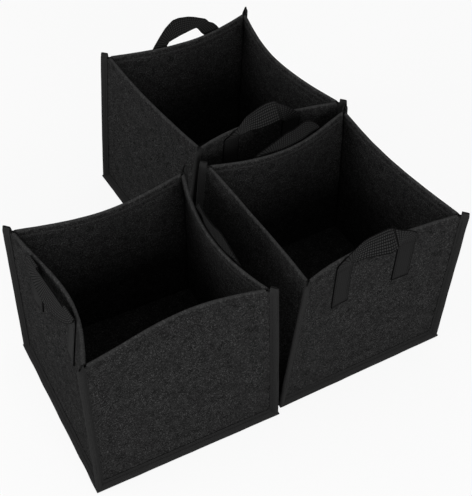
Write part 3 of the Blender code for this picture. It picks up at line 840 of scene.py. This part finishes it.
# painted shade: dark outlines along both edges of the strap and at each of its ends
across = maths(tree, "FRACT", add(tree, "ShaderNodeSeparateXYZ", {0: flat_map}).outputs["X"])
nearest = maths(tree, "MINIMUM", across, maths(tree, "SUBTRACT", WEBBING_WIDTH, across))
edge_shade = ranged(tree, nearest, EDGE_SHADE_SPAN, (EDGE_SHADE_TONE, 1.0))
end_shade = ranged(tree, slack_and_end_shade, (-1.0, 0.0), (EDGE_SHADE_TONE, 1.0))
shown = maths(tree, "MULTIPLY", shown, maths(tree, "MULTIPLY", edge_shade, end_shade))
# painted shade in the weave's grooves and a painted highlight on its crowns
colour = tinted(tree, shown, linear(WEBBING_GROOVE_SHADE), linear(WEBBING_CROWN_HIGHLIGHT))
relief = add(tree, "ShaderNodeBump", {"Height": shown, "Strength": 0.4, "Distance": 0.0004})
surfaced(tree, output, {
    "Base Color": colour, "Roughness": 0.6, "Normal": relief.outputs[0], "Specular IOR Level": 0.012})

hinges = {joint["child"]: joint for joint in frame["joints"] if joint["type"] == "hinge"}
across_strap = np.linspace(1, -1, WEAVE_CELLS * CELL_STEPS + 1)


def turned(points, angle):
    """Points of a fold line's frame, turned outward about it."""
    c, s = math.cos(angle), math.sin(angle)
    x, y, z = points[..., 0], points[..., 1], points[..., 2]
    return np.stack((x, y * c - z * s, y * s + z * c), -1)


def evenly(points, run, step):
    """Rows of numbers at about even steps of the distance run along them."""
    at = np.linspace(0, run[-1], max(2, round(run[-1] / step) + 1))
    return np.stack([np.interp(at, run, column) for column in points.T], -1)


def strap_rows(edges):
    """Rows of a strap at even steps of the mean length of its two edges."""
    run = (run_along(edges[:, 0]) + run_along(edges[:, 1])) / 2
    return evenly(edges.reshape(-1, 6), run, ROW).reshape(-1, 2, 3)


def even_loop(loop):
    """Upper and lower edge of a loop that turns evenly from one tail over to the other."""
    turn = np.linspace(0, np.pi, LOOP_STEPS)
    height = np.sin(turn)
    tilt = math.radians(loop["tilt"])
    legs = -TAIL_SPACING / 2 * np.cos(turn) * (1 - loop["pinch"] * height)
    level = np.full(turn.shape, FOLD_GAP + WEBBING / 2)
    middle = np.stack((legs, level, BEAD + loop["rise"] * height), -1)
    crown = np.array((0, math.sin(tilt), math.cos(tilt)))
    reach = (crown * height[:, None] - np.array((1.0, 0, 0)) * np.cos(turn)[:, None]) * WEBBING_WIDTH / 2
    return strap_rows(np.stack((middle + reach, middle - reach), 1))


def creased_loop(loop):
    """Upper and lower edge of a loop with sharp folds, eased a little along its length."""
    edges = strap_rows(np.array(loop, float).reshape(-1, 2, 3) / 1000)
    for _ in range(CREASE_EASE):
        edges[1:-1] = (edges[:-2] + 2 * edges[1:-1] + edges[2:]) / 4
    return edges


tail_rows = []
for (name, wall), loop in LOOPS.items():
    bag = BAGS[name]
    handle = f"{name}_{wall}_handle"
    origin = np.array(hinges[handle]["pos_m"])
    right = np.array(hinges[handle]["axis"])
    inward = np.cross(UP, right)
    axes = np.stack((right, inward, UP))
    depth = FELT / 2 + SEWN + WEBBING / 2
    fallen = isinstance(loop, dict)
    top = FOLD_Z - BEAD if fallen else CREASED_FROM

    # Tails: flat on the wall up to their last stitches, then easing to the fold line
    sewn = np.arange(TAIL_Z, TAIL_SEAM_Z, ROW)
    heights = np.concatenate((sewn, np.arange(sewn[-1] + ROW, top, ROW)))
    tails = []
    for side in (-1, 1):
        middle_place = -HANDLE_SHIFT + side * TAIL_SPACING / 2
        place, z = np.meshgrid(middle_place + side * across_strap * WEBBING_WIDTH / 2, heights)
        strip = (in_place(bag, on_wall(bag, wall, place, z, depth)[0]) - origin) @ axes.T
        ease = smooth(np.clip((z - sewn[-1]) / (FOLD_Z - BEAD - sewn[-1]), 0, 1))
        hung = np.full(z.shape, FOLD_GAP + WEBBING / 2)
        level = np.stack((place + HANDLE_SHIFT, hung, z - FOLD_Z), -1)
        tails.append(strip + (level - strip) * ease[..., None])
        inset = WEBBING_WIDTH / 2 - BOX_INSET
        box = np.array(((-inset, TAIL_SEAM_Z), (-inset, TAIL_Z + BOX_INSET), (inset, TAIL_Z + BOX_INSET),
                        (inset, TAIL_SEAM_Z), (-inset, TAIL_SEAM_Z)))
        tail_rows.append((name, wall, box + (middle_place, 0)))

    # Loop: from tail to tail, bent over the fold line if it has fallen and else kept off the wall
    edges = even_loop(loop) if fallen else creased_loop(loop)
    lower = (1 - across_strap)[None, :, None] / 2
    ribbon = edges[:, 0][:, None] * (1 - lower) + edges[:, 1][:, None] * lower
    if fallen:
        ribbon = turned(ribbon, math.radians(loop["fall"]))
        bends = []
        for begin, end in ((tails[0][-1], ribbon[0]), (tails[1][-1], ribbon[-1])):
            centre, radius = (begin + end) / 2, (begin - end) / 2
            angles = np.linspace(0, np.pi, BEND_STEPS + 1)[1:-1]
            bends.append(np.array([
                centre + radius * math.cos(a) + UP * BEND_RISE * math.sin(a) for a in angles]))
        ribbon = np.concatenate((bends[0], ribbon, bends[1][::-1]))
    else:
        z = np.minimum(ribbon[..., 2] + FOLD_Z, WALL_HEIGHT)
        at_wall = on_wall(bag, wall, ribbon[..., 0] - HANDLE_SHIFT, z, depth)[0]
        held = np.minimum(ribbon[..., 1], (in_place(bag, at_wall) - origin) @ inward)
        ribbon[..., 1] = np.where(ribbon[..., 2] < -WALL_CLEAR, held, ribbon[..., 1])
    strap = origin + np.concatenate((tails[0], ribbon, tails[1][::-1])) @ axes

    # Weave: a low pillow for each float, flatter on the tails
    present = np.ones(strap.shape[:2], bool)
    length = run_along(strap[:, len(across_strap) // 2])
    from_end = np.minimum(length, length[-1] - length)
    flat = flat_pattern((1 - across_strap) * WEBBING_WIDTH / 2, length)
    slack_and_end_shade = np.clip((from_end - TAIL_LENGTH + TAIL_SEAM) / SLACK_RUN, 0, 1)
    # painted shade at each end of the strap: the value falls below zero there, and the material darkens it
    slack_and_end_shade -= np.clip(END_SHADE_RUN - from_end / EDGE_SHADE_WIDTH, 0, 1)
    slack_and_end_shade = np.broadcast_to(slack_and_end_shade[:, None], present.shape)
    pillow = np.abs(np.sin(np.pi * flat[..., 0] / CELL) * np.sin(np.pi * flat[..., 1] / CELL)) ** PILLOW
    relief = WEAVE_RELIEF * (TAIL_RELIEF + (1 - TAIL_RELIEF) * np.clip(slack_and_end_shade, 0, 1))
    outer, inner = both_faces(strap, present, WEBBING - 2 * WEAVE_RELIEF)
    facing = unit(outer - inner) * (pillow * relief)[..., None]
    piece = sheet_piece(f"{handle}_strap", outer + facing, inner - facing, present, flat, webbing)
    values = np.tile(slack_and_end_shade[present], 2).astype(np.float32)
    piece.data.attributes.new("slack_and_end_shade", "FLOAT", "POINT").data.foreach_set("value", values)
    if fallen:
        at = origin + inward * FALLEN_PLACE[0] + UP * FALLEN_PLACE[1]
        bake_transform(piece)
    else:
        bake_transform(piece)
    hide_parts(f"{handle}_left_tail", f"{handle}_right_tail", f"{handle}_loop")


# Sewing thread: bonded black polyester in lock stitches about 3 mm long. One row holds each hem, one runs
# through each corner tape and floor tape, and a box of them holds each tail of a handle.
STITCH = 0.0036
STITCH_SHARE = 0.82  # of the row, the rest is where the thread dips into the cloth
THREAD = 0.0008
THREAD_FLAT = 0.7  # height of a stitch as a share of its width
THREAD_PROUD = {"hem": 0.2, "tape": 0.2, "floor": 0.3, "tail": 0.1}  # from cloth to its middle, in widths
THREAD_COLOUR = "#141414"
TAPE_STITCH = 0.0040  # from the cut edge of a tape
TAPE_ROW_ENDS = (0.002, 0.005)
HEM_POINTS = 61
RING_STEP = 0.02
BOX_STEP = 0.004

thread, tree, output = new_material("bonded_polyester_thread")
surfaced(tree, output, {
    "Base Color": linear(THREAD_COLOUR), "Roughness": 0.5, "Specular IOR Level": 0.05})


def growing_tree(name, inputs):
    """Node tree that grows a geometry, the identifiers of its named inputs, and what these give in it."""
    tree = bpy.data.node_groups.new(name, "GeometryNodeTree")
    identifiers = {}
    for key, kind in inputs.items():
        socket = tree.interface.new_socket(key, in_out="INPUT", socket_type=f"NodeSocket{kind}")
        identifiers[key] = socket.identifier
    tree.interface.new_socket("Grown", in_out="OUTPUT", socket_type="NodeSocketGeometry")
    return tree, identifiers, add(tree, "NodeGroupInput").outputs


def end_tree(tree, placed, material):
    """Makes a tree's instances real, gives them a material and puts them out."""
    real = add(tree, "GeometryNodeRealizeInstances", {"Geometry": placed.outputs[0]})
    dyed = add(tree, "GeometryNodeSetMaterial", {"Geometry": real.outputs[0], "Material": material})
    add(tree, "NodeGroupOutput", {"Grown": dyed.outputs[0]})


stitching, stitch_in, given = growing_tree("lock_stitches", {
    "Rows": "Geometry", "Pitch": "Float", "Stitch Size": "Vector"})
curves = add(stitching, "GeometryNodeMeshToCurve", {"Mesh": given["Rows"]})
spots = add(stitching, "GeometryNodeResampleCurve", {
    "Curve": curves.outputs[0], "Length": given["Pitch"]}, mode="LENGTH")
bead = add(stitching, "GeometryNodeMeshUVSphere", {"Segments": 6, "Rings": 4, "Radius": 0.5})
shaped = add(stitching, "GeometryNodeTransform", {
    "Geometry": bead.outputs["Mesh"], "Scale": given["Stitch Size"]})
facing = add(stitching, "GeometryNodeInputNamedAttribute", {"Name": "facing"}, data_type="FLOAT_VECTOR")
tangent = add(stitching, "GeometryNodeInputTangent")
lay = add(stitching, "FunctionNodeAxesToRotation", {
    "Primary Axis": facing.outputs["Attribute"], "Secondary Axis": tangent.outputs[0]},
    primary_axis="Z", secondary_axis="X")
placed = add(stitching, "GeometryNodeInstanceOnPoints", {
    "Points": spots.outputs[0], "Instance": shaped.outputs[0], "Rotation": lay.outputs[0]})
end_tree(stitching, placed, thread)


def grown(name, base, tree, settings):
    """Plain piece of what a node tree grows on a mesh."""
    holder = bpy.data.objects.new("holder", base)
    scene.collection.objects.link(holder)
    modifier = holder.modifiers.new("grow", "NODES")
    modifier.node_group = tree
    for identifier, value in settings.items():
        modifier[identifier] = value
    mesh = bpy.data.meshes.new_from_object(holder.evaluated_get(bpy.context.evaluated_depsgraph_get()))
    bpy.data.objects.remove(holder)
    mesh.name = name
    mesh.polygons.foreach_set("use_smooth", np.ones(len(mesh.polygons), bool))
    piece = bpy.data.objects.new(name, mesh)
    scene.collection.objects.link(piece)
    return piece


for name, bag in BAGS.items():
    lines = []
    for wall in WALLS:
        for outside in (True, False):
            place = np.linspace(-0.5, 0.5, HEM_POINTS) * (WALL_WIDTH - 2 * HEM_ROW_INSET)
            share = 0.5 + place / WALL_WIDTH
            z = np.full(share.shape, HEM_ROW_Z)
            proud = THREAD * THREAD_PROUD["hem"]
            depth = FELT / 2 - HEM_GROOVE + proud if outside else -2 * HEM_TURN - FELT / 2 - proud
            at, out = off_felt(bag, wall, share, z, depth)
            lines.append((at, out if outside else -out))
    for owner, corner, root in seam_rows:
        if owner == name:
            out = diagonal(corner)
            across = np.array((-out[1], out[0], 0.0))
            from_foot, from_rim = TAPE_ROW_ENDS
            row = (root[:, 2] > SEAM_BOTTOM + from_foot) & (root[:, 2] < WALL_HEIGHT - from_rim)
            proud = TAPE_OUTER + THREAD * THREAD_PROUD["tape"]
            for way in (-1, 1):
                at = root[row] + out * (TAPE_ROOT + TAPE_STITCH) + way * across * proud
                lines.append((at, np.broadcast_to(way * across, at.shape)))
    reach = BINDING_ROOT + TAPE_STITCH
    level = BINDING_TOP + flap_rise(reach) + THREAD * THREAD_PROUD["floor"]
    ring = np.array([(x * reach, y * reach, level) for x, y in CORNERS.values()])
    ring = np.concatenate((ring, ring[:1]))
    ring = evenly(ring, run_along(ring), RING_STEP)
    lines.append((ring, np.broadcast_to(UP, ring.shape)))
    for owner, wall, box in tail_rows:
        if owner == name:
            path = evenly(box, run_along(box), BOX_STEP)
            depth = FELT / 2 + SEWN + WEBBING + THREAD * THREAD_PROUD["tail"]
            at, out = on_wall(bag, wall, path[:, 0], path[:, 1], depth)
            lines.append((at, out))
    points = np.concatenate([line[0] for line in lines])
    normals = np.concatenate([line[1] for line in lines])
    starts = np.cumsum([0] + [len(line[0]) for line in lines])
    edges = [(i, i + 1) for first, last in zip(starts[:-1], starts[1:]) for i in range(first, last - 1)]
    base = bpy.data.meshes.new("rows")
    base.from_pydata(in_place(bag, points).tolist(), edges, [])
    turned_normals = in_place(bag, normals) - bag["place"]
    base.attributes.new("facing", "FLOAT_VECTOR", "POINT").data.foreach_set(
        "vector", turned_normals.astype(np.float32).ravel())
    piece = grown(f"{name}_stitches", base, stitching, {
        stitch_in["Pitch"]: STITCH,
        stitch_in["Stitch Size"]: (STITCH * STITCH_SHARE, THREAD, THREAD * THREAD_FLAT)})
    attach(piece, name)


# Loose fibres: the ends of the felt's polyester that needling leaves standing on both faces. They are drawn
# 50 microns thick, more than twice the real thickness, so that the nap shows.
FIBRES = 9000  # to a square metre
FIBRE_THICK = 0.00005
FIBRE_REACH = 0.0032
FIBRE_SIZES = (0.45, 1.3)  # shares of that reach
FIBRE_TIP = 0.3  # radians to either side
FULL_TURN = 6.2832
FIBRE_COLOUR = "#3d3d3d"

loose, tree, output = new_material("loose_polyester_fibre")
surfaced(tree, output, {
    "Base Color": linear(FIBRE_COLOUR), "Roughness": 0.9, "Specular IOR Level": 0.05})

nap, nap_in, given = growing_tree("felt_nap", {
    "Felt": "Geometry", "Density": "Float", "Reach": "Float", "Seed": "Int"})
spots = add(nap, "GeometryNodeDistributePointsOnFaces", {
    "Mesh": given["Felt"], "Density": given["Density"], "Seed": given["Seed"]})
strand = add(nap, "GeometryNodeCurveQuadraticBezier", {
    "Resolution": 3, "Start": (0, 0, -0.05), "Middle": (0.35, 0.05, 0.45), "End": (1.0, 0.25, 0.10)})
round_wire = add(nap, "GeometryNodeCurvePrimitiveCircle", {
    "Resolution": 3, "Radius": FIBRE_THICK / 2 / FIBRE_REACH})
wire = add(nap, "GeometryNodeCurveToMesh", {
    "Curve": strand.outputs[0], "Profile Curve": round_wire.outputs[0], "Fill Caps": True})
spin = add(nap, "FunctionNodeRandomValue", {
    0: (-FIBRE_TIP, -FIBRE_TIP, 0.0), 1: (FIBRE_TIP, FIBRE_TIP, FULL_TURN), "Seed": 3},
    data_type="FLOAT_VECTOR")
swung = add(nap, "FunctionNodeRotateRotation", {
    "Rotation": spots.outputs["Rotation"], "Rotate By": spin.outputs[0]}, rotation_space="LOCAL")
share = add(nap, "FunctionNodeRandomValue", {
    2: FIBRE_SIZES[0], 3: FIBRE_SIZES[1], "Seed": 5}, data_type="FLOAT")
size = maths(nap, "MULTIPLY", share.outputs[1], given["Reach"])
placed = add(nap, "GeometryNodeInstanceOnPoints", {
    "Points": spots.outputs["Points"], "Instance": wire.outputs[0], "Rotation": swung.outputs[0],
    "Scale": size})
end_tree(nap, placed, loose)

for number, name in enumerate(BAGS):
    points, faces = [], []
    for wall in WALLS:
        mesh = felt_pieces[name, wall].data
        at = np.zeros(3 * len(mesh.vertices), np.float32)
        mesh.vertices.foreach_get("co", at)
        corners = np.zeros(len(mesh.loops), np.int32)
        mesh.loops.foreach_get("vertex_index", corners)
        faces.append(corners.reshape(-1, 4) + sum(len(group) for group in points))
        points.append(at.reshape(-1, 3))
    base = bpy.data.meshes.new("felt")
    base.from_pydata(np.concatenate(points).tolist(), [], np.concatenate(faces).tolist())
    piece = grown(f"{name}_nap", base, nap, {
        nap_in["Density"]: FIBRES, nap_in["Reach"]: FIBRE_REACH, nap_in["Seed"]: number})
    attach(piece, name)
